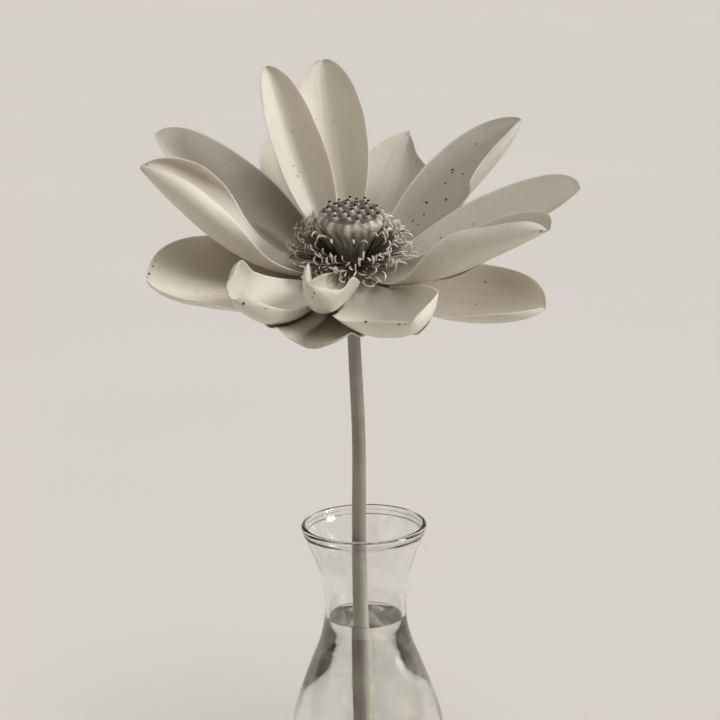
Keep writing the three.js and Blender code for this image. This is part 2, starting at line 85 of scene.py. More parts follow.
# Flower frame: its origin is the middle of the whorl, its axis leans forward
BLOOM_POSITION = np.array([-3.4, -69.6, 353.8])
BLOOM_TILT = math.radians(14.6)

# Seed pod: its outer profile, and those of a stigma's lip and mouth, for a stigma of size 1
POD_PROFILE = [
    (3.2, -12.8), (5.8, -12.3), (7.7, -11.2), (8.3, -9.6), (8.3, -2.6), (6.6, -1.9), (6.2, 0.4),
    (6.5, 4), (8.6, 9), (11.6, 15), (14.6, 20.5), (16.2, 24), (16.3, 26.2), (14.8, 27.7),
]
STIGMA_LIP = [(0.52, -0.5), (0.52, 0.1), (0.56, 0.35), (0.70, 0.6), (0.66, 0.72), (0.46, 0.7)]
STIGMA_MOUTH = [(0.46, 0.7), (0.28, 0.5), (0, 0.4)]
STIGMA_SIDES = 16
STIGMA_FOOT = 1.8
POD_SIDES = 176
POD_RIBS = 11
CARPELS = 27
CARPEL_SPREAD = 14.6
OUTER_CARPELS = 10.5
DOME_RINGS = 60
DOME_HEIGHT = 1.8
POD_TOP = 29
GOLDEN_ANGLE = math.radians(137.5)

# Stamens: the collar that they grow from, the threads, where along them the parts start, the
# azimuths of those that lean on the pod, and the room that all leave to pod, petals and each other
COLLAR = [(6.7, -1.0), (9.0, -1.0), (9.0, 2.0), (8.5, 2.4), (7.2, 2.3)]
COLLAR_SIDES = 72
STAMENS = 230
STAMEN_SIDES = 8
STAMEN_STEPS = 22
CURL_START = 0.70
ANTHER_START = 0.38
APPENDAGE_START = 0.71
# Where the darker part of a shaded appendage ends: painted shade
SHADED_TIP_END = 0.9
THREAD_SHARES = (0, 0.05, 0.34, 0.42, 0.66, 0.71, 0.76, 0.92, 0.985, 1)
THREAD_RADII = (0.36, 0.28, 0.24, 0.38, 0.40, 0.27, 0.40)
LEANING = (208, 217, 227, 236, 272, 286, 305, 318, 331, 345, 20, 65, 110, 160)
POD_ROOM = 1.3
PETAL_ROOM = 1.3
THREAD_ROOM_SQUARED = 0.5

# Petals: the sheet that gives way to its neighbours, and the finer one that is shown
PRESS_ROWS = 44
PRESS_COLUMNS = 24
ROW_DOUBLINGS = 1
COLUMN_DOUBLINGS = 2
SPINE_STEPS = 400
CROSS_STEPS = 36
CLAW_RADIUS = 8.95
CLAW_SHARE = 0.125

# Beside an upper petal, the lower one gives way fully up to near, and not at all from far on
PRESS_ROUNDS = 4
PRESS_GAP = 2.1
PRESS_REACH = 13
PRESS_NEAR = 3
PRESS_FAR = 7
SPREAD_ROUNDS = 14
SPREAD_KEEP = 0.94
NERVES = 11

# One row for each petal, in the same values as the part's source: azimuth of the midrib; its
# slope at claw, middle and tip; length and width; how far the left and the right half turn up,
# each at claw and at tip; the claw's height; and for some the claw's distance from the axis, twist,
# curl of the margins, outline and share of each half. A lift draws the blade aside round one
# place: where along and across, its length and breadth, and which way
PETALS = {
    "a": dict(turn=126, rise=(42, 54, 66), long=110, wide=40, cups=(60, 70, 115, 80),
              low=-4.6, claw=9.5, widest=0.52, tip_power=0.5),
    "b": dict(turn=100, rise=(40, 51, 60), long=110, wide=43, cups=(60, 50, 70, 60),
              low=-4.6, claw=9.3, tip_power=0.5),
    "c": dict(turn=111, rise=(14, 22, 28), long=108, wide=50, cups=(40, 40, 40, 40),
              low=-9.3, claw=7.25),
    "d": dict(turn=152, rise=(17, 29, 37), long=120, wide=52, cups=(50, 50, 40, 30), low=-6,
              tip_power=0.48),
    "e": dict(turn=187, rise=(-6, 41, 48), long=121, wide=63, cups=(42, 97, 10, 55),
              low=-5.6, roll=(6, -13), hem=(92, 102), widest=0.69, tip_power=0.64),
    "f": dict(turn=195, rise=(-2, 9, 18), long=99, wide=56, cups=(30, 30, 40, 30),
              low=-8.6, roll=(-20, -30), hem=(70, 0), tip_power=0.45),
    "g": dict(turn=231, rise=(4, 8, 66), long=93, wide=50, cups=(80, 110, 10, 88),
              low=-7.2, roll=(0, -35), hem=(0, 28), tip_power=0.34, widest=0.64,
              lifts=[(0.9, -0.95, 0.15, 0.8, (-3.5, 0, 8.5))]),
    "h": dict(turn=255, rise=(0, 2, 0), long=71, wide=56, cups=(50, 50, 50, 50), low=-9.8,
              tip_power=0.3, widest=0.7),
    "i": dict(turn=254.5, rise=(14, 9, 92), long=80, wide=44, cups=(70, 80, 110, 125),
              low=-4.8, claw=9.1, roll=(-10, -14), share=(1, 0.9),
              lifts=[(0.86, -1, 0.08, 0.55, (-1, 0, 11.5)), (0.6, 1, 0.24, 0.5, (-3, 0, 11))]),
    "j": dict(turn=287, rise=(2, 2, 66), long=92.5, wide=65, cups=(66, 84, 45, 50),
              low=-6.6, tip_power=0.56, widest=0.62),
    "k": dict(turn=297, rise=(0, 1, 0), long=60, wide=37, cups=(40, 40, 40, 40), low=-10.8,
              tip_power=0.5),
    "l": dict(turn=343, rise=(-14, -5, 20), long=94, wide=52, cups=(40, 50, 40, 50),
              low=-9.2, roll=(15, 15), hem=(0, 60), tip_power=0.38),
    "m": dict(turn=331, rise=(-8, 31, 32), long=113, wide=62, cups=(112, 100, 30, 80),
              low=-4.9, roll=(8, -27), hem=(-45, 82), widest=0.62, tip_power=0.5,
              lifts=[(0.84, -1, 0.17, 0.7, (0, -1, -5.5)), (0.42, 1, 0.22, 0.7, (0, 0, -6))]),
    "n": dict(turn=357, rise=(16, 26, 28), long=117, wide=46, cups=(28, 28, 40, 40),
              low=-6.9, roll=(16, 11), tip_power=0.44),
    "o": dict(turn=34, rise=(18, 30, 39), long=115, wide=48, cups=(45, 45, 45, 45), low=-5,
              hem=(0, 120)),
    "p": dict(turn=73, rise=(10, 18, 28), long=109, wide=47, cups=(40, 40, 40, 40), low=-8,
              tip_power=0.85, lifts=[(0.86, -1, 0.13, 0.6, (-5, 0, -3))]),
}

# Petals with a darker skin, which paints the shade they lie in
SHADED_PETALS = "cdhkop"

# Where two petals lie on each other, the first letter is the upper one
LAYERS = "ij ig jk jh gh gf hk ef ed ab ad mn ml no op bp nl mj mk df ac bc pc dc jl".split()

# Dark specks: place along and across the blade, and width; a minus width is on the outer face
SPECKS = {
    "a": [(0.51, 0.13, 0.7), (0.46, 0.12, 0.9), (0.66, -0.2, 0.5)],
    "b": [(0.40, 0.23, 0.8), (0.7, -0.1, 0.5)],
    "e": [(0.985, 0.3, -0.9), (0.975, -0.5, 0.8)],
    "f": [(0.98, -0.35, 1.2), (0.965, -0.6, 0.9), (0.95, -0.75, 0.7)],
    "g": [(0.985, 0.74, 1.3), (0.978, 0.66, -1.1), (0.96, 0.8, 0.8), (0.9, 0.9, -0.7)],
    "i": [(0.96, 0.27, -0.8), (0.93, 0.1, -0.6), (0.90, 0.35, -0.5)],
    "j": [(0.50, -0.97, -1.5), (0.53, -0.93, -1.2), (0.90, -0.97, -1.1), (0.975, -0.56, -0.9),
          (0.985, -0.3, -0.7)],
    "l": [(0.62, 0.65, 0.9), (0.59, 0.10, 0.7), (0.8, 0.3, 0.5)],
    "m": [(0.985, -0.45, -0.9), (0.97, -0.30, -0.7), (0.99, -0.1, 0.8)],
    "n": [(0.33, 0.46, 0.8), (0.49, 0.40, 0.7)],
    "o": [(0.42, 0.38, 1.4), (0.475, 0.02, 1.5), (0.31, 0.29, 1.0), (0.355, 0.17, 1.1),
          (0.31, 0.04, 0.9), (0.62, 0.48, 1.2), (0.60, 0.43, 0.9), (0.63, 0.21, 0.9),
          (0.775, 0.56, 0.8), (0.54, 0.38, 0.9)],
    "p": [(0.97, 0.3, 0.8), (0.8, -0.75, 0.6)],
}

# Smaller specks strewn on each petal, and a speck's rings: share of its radius, and height
DUST = 9
SPECK_SIDES = 14
SPECK_RINGS = ((1.0, -0.12), (0.92, 0.03), (0.55, 0.07))

# Camera at the photograph's angle; its pitch counts from straight down
CAMERA_PLACE = (-0.00038, -1.1713, 0.5826)
CAMERA_PITCH = 75.7
CAMERA_ROLL = -1.1
CAMERA_LENS = 110
SENSOR_WIDTH = 36

# Lamps: name, turn from the camera's side towards the right, height, power and softness
LAMPS = [("key", 76, 27, 1.85, 20), ("fill", -60, 20, 0.26, 50), ("top", 25, 66, 1.0, 36)]
LAMP_COLOUR = (1, 0.985, 0.965)
SKY_LOW = (0.34, 0.33, 0.315)
SKY_HIGH = (1.0, 0.975, 0.93)
SKY_STRENGTH = 0.12
FLOOR_HALF = 12


# Shapes

class Shape:
    """Points and faces, with a material number for each face and two marks for each point."""

    def __init__(self):
        self.points = []
        self.faces = []
        self.tags = []
        self.marks = []
        self.count = 0

    def add(self, points, faces, tag=0, marks=None):
        points = np.asarray(points, float)
        self.points.append(points)
        self.faces.extend([tuple(i + self.count for i in face) for face in faces])
        self.tags.extend(tag if isinstance(tag, list) else [tag] * len(faces))
        self.marks.append(np.zeros((len(points), 2)) if marks is None else np.asarray(marks, float))
        self.count += len(points)


def grid_faces(rows, columns, wrap=False, flip=False, start=0):
    faces = []
    for i in range(rows - 1):
        for j in range(columns if wrap else columns - 1):
            k = (j + 1) % columns
            a, b = start + i * columns + j, start + i * columns + k
            c, d = start + (i + 1) * columns + k, start + (i + 1) * columns + j
            faces.append((a, d, c, b) if flip else (a, b, c, d))
    return faces


def added(name, data):
    """A new object in the scene."""
    made = bpy.data.objects.new(name, data)
    bpy.context.scene.collection.objects.link(made)
    return made


def make_piece(name, shape, materials, node):
    mesh = bpy.data.meshes.new(name)
    points = np.concatenate(shape.points) * MM
    mesh.from_pydata(points.tolist(), [], shape.faces)
    marks = np.concatenate(shape.marks)
    layer = mesh.uv_layers.new(name="marks")
    loops = np.empty(len(mesh.loops), dtype=np.int32)
    mesh.loops.foreach_get("vertex_index", loops)
    layer.data.foreach_set("uv", marks[loops].astype(np.float32).ravel())
    mesh.polygons.foreach_set("use_smooth", [True] * len(mesh.polygons))
    for material in materials:
        mesh.materials.append(material)
    mesh.polygons.foreach_set("material_index", shape.tags)
    mesh.validate()
    mesh.update()
    piece = added(name, mesh)
    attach(piece, "root")
    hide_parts(node)


def between(t, low, high, a, b):
    """The value at t on the line from a at low to b at high."""
    return (high - t) / (high - low) * a + (t - low) / (high - low) * b


def catmull(points, steps):
    """Points on a smooth curve through the given ones, with the ends kept."""
    p = np.asarray(points, float)
    ends = np.vstack([2 * p[0] - p[1], p, 2 * p[-1] - p[-2]])
    knots = np.concatenate([[0], np.cumsum(np.linalg.norm(np.diff(ends, axis=0), axis=1) ** 0.5)])
    out = []
    for k in range(1, len(ends) - 2):
        for t in np.linspace(knots[k], knots[k + 1], steps, endpoint=False):
            a, b, c = (between(t, *knots[i:i + 2], *ends[i:i + 2]) for i in (k - 1, k, k + 1))
            before = between(t, knots[k - 1], knots[k + 1], a, b)
            after = between(t, knots[k], knots[k + 2], b, c)
            out.append(between(t, *knots[k:k + 2], before, after))
    out.append(p[-1])
    return np.array(out)


def evenly(points, count):
    """Points on the same line, at even distances."""
    lengths = np.concatenate([[0], np.cumsum(np.linalg.norm(np.diff(points, axis=0), axis=1))])
    at = np.linspace(0, lengths[-1], count)
    return np.stack([np.interp(at, lengths, points[:, k]) for k in range(points.shape[1])], axis=1)


def frames_along(centres):
    """A side and an up vector at each centre, carried along without twist."""
    ahead = np.gradient(centres, axis=0)
    ahead /= np.linalg.norm(ahead, axis=1)[:, None]
    side = np.array([1.0, 0.0, 0.0])
    if abs(side @ ahead[0]) > 0.9:
        side = np.array([0.0, 1.0, 0.0])
    sides = []
    for direction in ahead:
        side = side - direction * (side @ direction)
        side /= np.linalg.norm(side)
        sides.append(side)
    sides = np.array(sides)
    return sides, np.cross(ahead, sides), ahead


def turns(sides):
    """The angles of a ring's points."""
    return np.arange(sides) / sides * 2 * math.pi


def caps(total, sides, low, high):
    """Fans that close the first and the last ring of a row of rings, to the points low and high."""
    last = total - sides
    faces = []
    for i in range(sides):
        j = (i + 1) % sides
        faces += [(low, j, i), (high, last + i, last + j)]
    return faces


def tube(shape, centres, radii, sides, tags=0, flat=1.0, relief=None):
    """A closed round bar; tags may be one for each ring; relief(ring, angle) adds to its radius."""
    across, up, ahead = frames_along(centres)
    count = len(centres)
    angle = turns(sides)
    r = np.repeat(np.asarray(radii, float)[:, None], sides, axis=1)
    if relief is not None:
        r = r + relief(np.arange(count)[:, None], angle[None, :])
    ring = (
        centres[:, None, :]
        + across[:, None, :] * (r * np.cos(angle))[:, :, None]
        + up[:, None, :] * (r * flat * np.sin(angle))[:, :, None]
    )
    start = centres[0] - ahead[0] * radii[0] * 0.5
    end = centres[-1] + ahead[-1] * radii[-1] * 0.5
    points = np.vstack([ring.reshape(-1, 3), start, end])
    total = count * sides
    faces = grid_faces(count, sides, wrap=True) + caps(total, sides, total, total + 1)
    if isinstance(tags, list):
        tags = [tag for tag in tags[:-1] for _ in range(sides)] + [tags[0], tags[-1]] * sides
    along = np.repeat(np.linspace(0, 1, count), sides)
    around = np.tile(np.arange(sides) / sides, count)
    marks = np.concatenate([np.stack([around, along], axis=1), [[0, 0], [0, 1]]])
    shape.add(points, faces, tags, marks)


def turned(shape, profile, sides, relief=None):
    """A profile of (radius, height) turned round Z; an end on the axis is closed by a fan."""
    angle = turns(sides)
    profile = np.asarray(profile, float)
    inside = profile[profile[:, 0] > 1e-6]
    r, z = (np.repeat(column[:, None], sides, axis=1) for column in inside.T)
    if relief is not None:
        r = r + relief(r, z, angle[None, :])
    points = np.stack([r * np.cos(angle), r * np.sin(angle), z], axis=2).reshape(-1, 3)
    faces = grid_faces(len(inside), sides, wrap=True)
    marks = np.stack([np.tile(np.arange(sides) / sides, len(inside)), points[:, 2] / 100], axis=1)
    middles = []
    for end, ring in ((0, 0), (-1, len(inside) - 1)):
        if profile[end][0] > 1e-6:
            continue
        middle = len(points) + len(middles)
        middles.append((0, 0, profile[end][1]))
        for i in range(sides):
            a, b = ring * sides + i, ring * sides + (i + 1) % sides
            faces.append((middle, b, a) if end == 0 else (middle, a, b))
    marks = np.vstack([marks] + [(0, 0)] * len(middles))
    shape.add(np.vstack([points] + middles), faces, marks=marks)


def smooth_step(x, low, high):
    t = np.clip((np.asarray(x, float) - low) / (high - low), 0, 1)
    return t * t * (3 - 2 * t)


# Flower frame

bloom_axis = np.array([0, -math.sin(BLOOM_TILT), math.cos(BLOOM_TILT)])
bloom_right = np.array([1.0, 0, 0])
bloom_back = np.cross(bloom_axis, bloom_right)


def in_bloom(shape):
    shape.points = [
        BLOOM_POSITION + p[:, :1] * bloom_right + p[:, 1:2] * bloom_back + p[:, 2:] * bloom_axis
        for p in shape.points
    ]
    return shape


# Materials

class Look:
    """The nodes of a material or a world, built up from small steps."""

    def __init__(self, name, kind=bpy.data.materials):
        self.made = kind.new(name)
        self.made.use_nodes = True
        self.tree = self.made.node_tree
        self.tree.nodes.clear()

    def node(self, kind, values=None, **settings):
        made = self.tree.nodes.new("ShaderNode" + kind)
        for key, value in settings.items():
            setattr(made, key, value)
        for key, value in (values or {}).items():
            if isinstance(value, bpy.types.NodeSocket):
                self.tree.links.new(value, made.inputs[key])
            else:
                made.inputs[key].default_value = value
        return made

    def place(self):
        return self.node("TexCoord").outputs["Object"]

    def marks(self):
        """The piece's two marks: across and along it, or how proud a place on the pod is."""
        stored = self.node("UVMap", uv_map="marks").outputs[0]
        split = self.node("SeparateXYZ", {0: stored})
        return split.outputs[0], split.outputs[1]

    def stretched(self, across, along, x, y):
        wide, long = self.math("MULTIPLY", across, x), self.math("MULTIPLY", along, y)
        return self.node("CombineXYZ", {0: wide, 1: long}).outputs[0]

    def math(self, operation, a, b=0.0):
        return self.node("Math", {0: a, 1: b}, operation=operation).outputs[0]

    def noise(self, scale, detail=3.0, roughness=0.55, at=None):
        values = {"Vector": self.place() if at is None else at, "Scale": scale, "Detail": detail,
                  "Roughness": roughness}
        return self.node("TexNoise", values).outputs["Fac"]

    def ramp(self, factor, stops):
        made = self.node("ValToRGB", {"Fac": factor})
        elements = made.color_ramp.elements
        while len(elements) < len(stops):
            elements.new(0.5)
        for element, (place, colour) in zip(elements, stops):
            element.position = place
            element.color = (*colour, 1)
        return made.outputs["Color"]

    def level(self, factor, low, high, at_low=0.0, at_high=1.0):
        """From at_low to at_high, softly, while the factor goes from low to high."""
        values = {"Value": factor, "From Min": low, "From Max": high,
                  "To Min": at_low, "To Max": at_high}
        return self.node("MapRange", values, interpolation_type="SMOOTHSTEP").outputs[0]

    def total(self, *terms):
        """The sum of (socket, weight) pairs."""
        parts = [self.math("MULTIPLY", socket, weight) for socket, weight in terms]
        whole = parts[0]
        for part in parts[1:]:
            whole = self.math("ADD", whole, part)
        return whole

    def mix(self, base, colour, factor):
        values = {0: factor, 6: base, 7: (*colour, 1)}
        return self.node("Mix", values, data_type="RGBA").outputs[2]

    def stain(self, base, colour, factor, low, high, most):
        """The colour shows more, up to most, where the factor is higher."""
        return self.mix(base, colour, self.level(factor, low, high, 0.0, most))

    def bump(self, height, distance, strength=1.0):
        values = {"Height": height, "Distance": distance * MM, "Strength": strength}
        return self.node("Bump", values).outputs[0]

    def finish(self, values):
        shader = self.node("BsdfPrincipled", values)
        self.node("OutputMaterial", {"Surface": shader.outputs[0]})
        return self.made

    def finish_plant(self, base, roughness, normal, scatter, depth, gloss=0.4, sheen=0.0):
        return self.finish({
            "Base Color": base, "Roughness": roughness, "Normal": normal,
            "Subsurface Weight": scatter, "Subsurface Scale": depth,
            "Subsurface Radius": (1.0, 0.94, 0.82), "Specular IOR Level": gloss,
            "Sheen Weight": sheen,
        })


def grey(value, warmth=1.0):
    """A warm grey of the toned print, from a brightness."""
    return (value, value * (1 - 0.065 * warmth), value * (1 - 0.17 * warmth))


def petal_look(name, depth):
    """Skin of a blade; a smaller depth makes a darker copy: painted shade for the outer petals, which
    lie shaded.
    """
    look = Look(name)
    across, along = look.marks()
    drift = look.noise(1.6, 2, at=look.stretched(across, along, 3, 2.2))
    wander = look.math("ADD", across, look.math("MULTIPLY", drift, 0.03))
    nerve = look.math("MULTIPLY", wander, math.pi * NERVES * 2)
    line = look.level(look.math("ABSOLUTE", look.math("SINE", nerve)), 0.0, 0.35, 1.0, 0.0)
    net = look.noise(3.2, 5, 0.65, at=look.stretched(across, along, 80, 6))
    streak = look.noise(2.4, 4, 0.6, at=look.stretched(across, along, 30, 1.6))
    cloud = look.noise(34, 3, 0.5)
    grain = look.noise(1500, 2, 0.7)
    # The skin darkens towards the claw: partly its own browner tone, partly painted shade under the
    # stamens
    base = look.ramp(along, [(0.0, grey(0.44 * depth, 1.2)), (0.12, grey(0.58 * depth, 1.1)),
                             (0.32, grey(0.68 * depth)), (0.8, grey(0.74 * depth)),
                             (0.965, grey(0.74 * depth)), (1.0, grey(0.62 * depth, 1.2))])
    base = look.stain(base, grey(0.58 * depth, 1.1), cloud, 0.35, 0.75, 0.24)
    base = look.stain(base, grey(0.50 * depth, 1.1), streak, 0.45, 0.8, 0.24)
    base = look.mix(base, grey(0.44 * depth, 1.15), look.math("MULTIPLY", line, 0.14))
    base = look.stain(base, grey(0.46 * depth, 1.1), net, 0.5, 0.72, 0.18)
    # A pale line along each margin: painted highlight, as of light caught on the margin's edge
    edge = look.math("ABSOLUTE", look.math("SUBTRACT", across, 0.5))
    base = look.stain(base, grey(0.92), edge, 0.475, 0.5, 0.75)
    slant = look.math("ABSOLUTE", look.math("SUBTRACT", across, look.math("MULTIPLY", drift, 0.98)))
    tip = look.math("SUBTRACT", along, look.math("MULTIPLY", slant, 0.06))
    base = look.stain(base, grey(0.16, 1.6), tip, 0.982, 0.998, 0.7)
    base = look.stain(base, grey(0.52), grain, 0.34, 0.72, 0.16)
    height = look.total((line, -0.25), (net, 0.4), (streak, 0.45), (grain, 0.35))
    return look.finish_plant(base, look.level(streak, 0.3, 0.8, 0.50, 0.62),
                             look.bump(height, 0.12, 0.7), 0.45, 0.0014, gloss=0.36, sheen=0.06)


def mottled_look(name, scale, dark, light, smooth, rough, relief):
    """A skin between two colours, and between two roughnesses."""
    look = Look(name)
    tone = look.noise(scale)
    return look.finish({
        "Base Color": look.ramp(tone, [(0.3, dark), (0.7, light)]),
        "Roughness": look.level(tone, 0.3, 0.7, smooth, rough), "Normal": look.bump(tone, relief),
    })


def stem_look():
    look = Look("stem_skin")
    across, along = look.marks()
    streak = look.noise(2.0, 4, 0.6, at=look.stretched(across, along, 28, 3))
    cloud = look.noise(60, 3)
    specks = look.noise(700, 2, 0.5)
    base = look.ramp(streak, [(0.25, grey(0.26, 1.3)), (0.5, grey(0.36, 1.2)),
                              (0.75, grey(0.46, 1.1))])
    base = look.stain(base, grey(0.27, 1.3), cloud, 0.35, 0.7, 0.4)
    base = look.stain(base, (0.045, 0.033, 0.02), specks, 0.67, 0.74, 0.8)
    height = look.total((streak, 1), (specks, 0.6))
    return look.finish_plant(base, look.level(cloud, 0.3, 0.7, 0.48, 0.62),
                             look.bump(height, 0.22, 0.8), 0.12, 0.001)


def pod_look(name, dark, light):
    look = Look(name)
    cloud = look.noise(130, 4, 0.6)
    grain = look.noise(1300, 3, 0.6)
    cells = look.node("TexVoronoi", {"Vector": look.place(), "Scale": 900.0}, feature="F1")
    proud, _ = look.marks()
    # The colour follows how proud each place is: painted shade in the hollows, painted highlight on
    # the proud points, with a mottled tone over them
    tone = look.total((cloud, 0.5), (proud, 0.5))
    base = look.ramp(tone, [(0.22, tuple(v * 0.5 for v in dark)), (0.42, dark), (0.72, light)])
    base = look.stain(base, tuple(v * 0.55 for v in dark), grain, 0.4, 0.75, 0.4)
    height = look.total((cells.outputs["Distance"], 0.7), (cloud, 1.3))
    return look.finish_plant(base, look.level(grain, 0.3, 0.7, 0.5, 0.72),
                             look.bump(height, 0.3, 0.8), 0.12, 0.001)


def stamen_look(name, dark, light, roughness=0.55):
    look = Look(name)
    across, along = look.marks()
    fine = look.noise(2.5, 3, at=look.stretched(across, along, 5, 30))
    cloud = look.noise(420, 3)
    tone = look.total((fine, 0.5), (cloud, 0.5))
    base = look.ramp(tone, [(0.3, dark), (0.66, light)])
    rough = look.level(fine, 0.3, 0.7, roughness - 0.08, roughness + 0.1)
    return look.finish_plant(base, rough, look.bump(fine, 0.12, 0.7), 0.15, 0.0006)


def clear_look(name, ior, tint, ripple, haze=None):
    """Clear glass or water: lamps shine through it, so that it casts a pale shadow."""
    look = Look(name)
    wave = look.total((look.noise(17, 2, 0.4), 1), (look.noise(60, 2), 0.25))
    clear = look.node("BsdfPrincipled", {
        "Base Color": tint, "Roughness": 0.0, "IOR": ior, "Transmission Weight": 1.0,
        "Normal": look.bump(wave, ripple),
    }).outputs[0]
    if haze:
        low, high, most = haze
        mist = look.level(look.noise(55, 5, 0.65), low, high, 0.0, most)
        dull = look.node("BsdfDiffuse", {"Color": (*grey(0.8), 1)}).outputs[0]
        clear = look.node("MixShader", {0: mist, 1: clear, 2: dull}).outputs[0]
    through = look.node("BsdfTransparent", {"Color": (0.93, 0.94, 0.93, 1)})
    lamp_ray = look.node("LightPath").outputs["Is Shadow Ray"]
    mixed = look.node("MixShader", {0: lamp_ray, 1: clear, 2: through.outputs[0]})
    look.node("OutputMaterial", {"Surface": mixed.outputs[0]})
    return look.made


def floor_look():
    look = Look("floor_paper")
    tone = look.noise(1.2, 2)
    base = look.ramp(tone, [(0.2, grey(0.84, 0.5)), (0.8, grey(0.87, 0.5))])
    return look.finish({"Base Color": base, "Roughness": look.level(tone, 0.2, 0.8, 0.85, 0.9),
                        "Specular IOR Level": 0.2})


# Vase and water

def offset_inward(profile, distance):
    step = np.gradient(profile, axis=0)
    size = np.linalg.norm(step, axis=1)
    return np.stack([
        profile[:, 0] - distance * step[:, 1] / size,
        profile[:, 1] + distance * step[:, 0] / size,
    ], axis=1)


outer_wall = catmull(VASE_BODY[2:], 7)
inner_wall = offset_inward(outer_wall, WALL)
inner_wall = inner_wall[(inner_wall[:, 1] > FLOOR_TOP + 4) & (inner_wall[:, 1] < 184)]
inner_foot = catmull(np.vstack([INNER_FOOT[1:], inner_wall[0]]), 5)


def glass_ripple(r, z, angle):
    """Hand-blown unevenness, a little stronger at the right of the shoulder."""
    slow = 0.10 * np.sin(3 * angle + z * 0.045) + 0.07 * np.sin(5 * angle - z * 0.08 + 1.3)
    dent = -0.5 * np.exp(-((z - 82) / 7) ** 2 - ((angle - math.radians(-18)) / 0.16) ** 2)
    body = smooth_step(z, 12, 30) * (1 - smooth_step(z, 160, 178))
    return slow * body + dent * (r > 30)


def vase():
    shape = Shape()
    rim = catmull(np.vstack([outer_wall[-1], RIM_BEAD, inner_wall[-1]]), 4)
    profile = np.vstack([
        [(0, 0), (15, 0)], VASE_BODY[:2], outer_wall, rim[1:],
        inner_wall[-2:0:-1], inner_foot[::-1], [(10, FLOOR_TOP), (0, FLOOR_TOP)],
    ])
    turned(shape, profile, TURN_SIDES, relief=glass_ripple)
    glass = clear_look("clear_glass", 1.5, (0.97, 0.975, 0.965, 1), 0.3, GLASS_HAZE)
    make_piece("carafe_glass", shape, [glass], "vase")


def water():
    shape = Shape()
    wall = offset_inward(np.vstack([inner_foot, inner_wall[1:]]), -WETTING)
    edge = WATER_TOP + MENISCUS
    radius = np.interp(edge, wall[:, 1], wall[:, 0])
    rise = [(radius - d, WATER_TOP + MENISCUS * math.exp(-d / MENISCUS_REACH))
            for d in MENISCUS_STEPS]
    low = FLOOR_TOP - WETTING
    profile = np.vstack([
        [(0, low), (10, low)], wall[wall[:, 1] < edge - 0.3], rise, [(9, WATER_TOP), (0, WATER_TOP)],
    ])
    turned(shape, profile, TURN_SIDES, relief=glass_ripple)
    clear = clear_look("clear_water", 1.33, (0.99, 0.99, 0.985, 1), 0.0)
    make_piece("vase_water", shape, [clear], "water")


# Stem

def stem():
    shape = Shape()
    centres = evenly(catmull(STEM_PATH, 40), STEM_RINGS)
    share = np.linspace(0, 1, STEM_RINGS)
    radii = STEM_FOOT_RADIUS + (STEM_TOP_RADIUS - STEM_FOOT_RADIUS) * share
    radii = radii + 0.8 * smooth_step(share, 0.975, 1.0)

    def ribs(ring, angle):
        along = ring / STEM_RINGS
        slow = 0.07 * np.sin(2 * angle + 9 * along) + 0.05 * np.sin(3 * angle - 14 * along + 2)
        return slow + 0.035 * np.sin(14 * angle + 3 * np.sin(11 * along))

    tube(shape, centres, radii, STEM_SIDES, relief=ribs)
    across, up, ahead = frames_along(centres)
    rng = random.Random(5)
    for _ in range(PRICKLES):
        ring = rng.randrange(4, STEM_RINGS - 8)
        angle = rng.uniform(0, 2 * math.pi)
        out = across[ring] * math.cos(angle) + up[ring] * math.sin(angle)
        foot = centres[ring] + out * (radii[ring] - 0.1)
        height = rng.uniform(0.25, 0.5)
        middle = foot + out * height * 0.6 + ahead[ring] * 0.05
        point = foot + out * height + ahead[ring] * 0.16
        tube(shape, np.array([foot, middle, point]), [0.22, 0.13, 0.04], 6)
    for k in range(AIR_CANALS + 1):
        angle = k * 2 * math.pi / AIR_CANALS
        reach = 0 if k == AIR_CANALS else CANAL_RING
        middle = centres[0] + across[0] * reach * math.cos(angle) + up[0] * reach * math.sin(angle)
        start = middle - ahead[0] * CUT_DEPTH
        tube(shape, np.array([start, start + ahead[0] * 0.3]), [CANAL_RADIUS, CANAL_RADIUS], 14, 1)
    pith = mottled_look("stem_cut", 1100, grey(0.32, 1.2), grey(0.5), 0.55, 0.75, 0.15)
    make_piece("flower_stem", shape, [stem_look(), pith], "stem")


# Seed pod

def carpel_places():
    """Place, size and distance from the axis of each carpel."""
    rng = random.Random(7)
    for k in range(CARPELS):
        radius = CARPEL_SPREAD * math.sqrt((k + 0.45) / CARPELS)
        angle = k * GOLDEN_ANGLE
        yield radius * math.cos(angle), radius * math.sin(angle), rng.uniform(0.88, 1.14), radius


def pod_side(places, angle):
    """Rings up the side, pushed out by the outer carpels, and how proud their points are, which the
    colour turns into painted shade and highlight.
    """
    rings, proud = [], []
    for radius, height in catmull(POD_PROFILE, 6):
        bulge = np.zeros(POD_SIDES)
        for x, y, size, reach in places:
            if reach > OUTER_CARPELS:
                turn = np.angle(np.exp(1j * (angle - math.atan2(y, x))))
                bulge += 1.15 * size * np.exp(-(turn / 0.15) ** 2 - ((height - 23.2) / 4.0) ** 2)
        rib = 0.028 * radius * np.cos(POD_RIBS * angle) * smooth_step(height, -4, 6)
        crease = 0.16 * np.sin(23 * angle + 2.5 * math.sin(height * 0.5)) * smooth_step(height, 2, 12)
        r = radius + (bulge + crease) * smooth_step(26.9 - height, 0, 2) + rib
        z = np.full(POD_SIDES, height)
        rings.append(np.stack([r * np.cos(angle), r * np.sin(angle), z], axis=1))
        # Stripes up the side that are only in the colour: painted shade of furrows; the outer
        # carpels' bulges are painted lighter, as highlight
        wave = np.sin(POD_RIBS * 2 * angle + 1.1 * math.sin(height * 0.3))
        furrow_shade = 0.22 * wave * smooth_step(height, 4, 14)
        proud.append(np.clip(0.45 + furrow_shade + 0.45 * bulge, 0, 1))
    return rings, proud


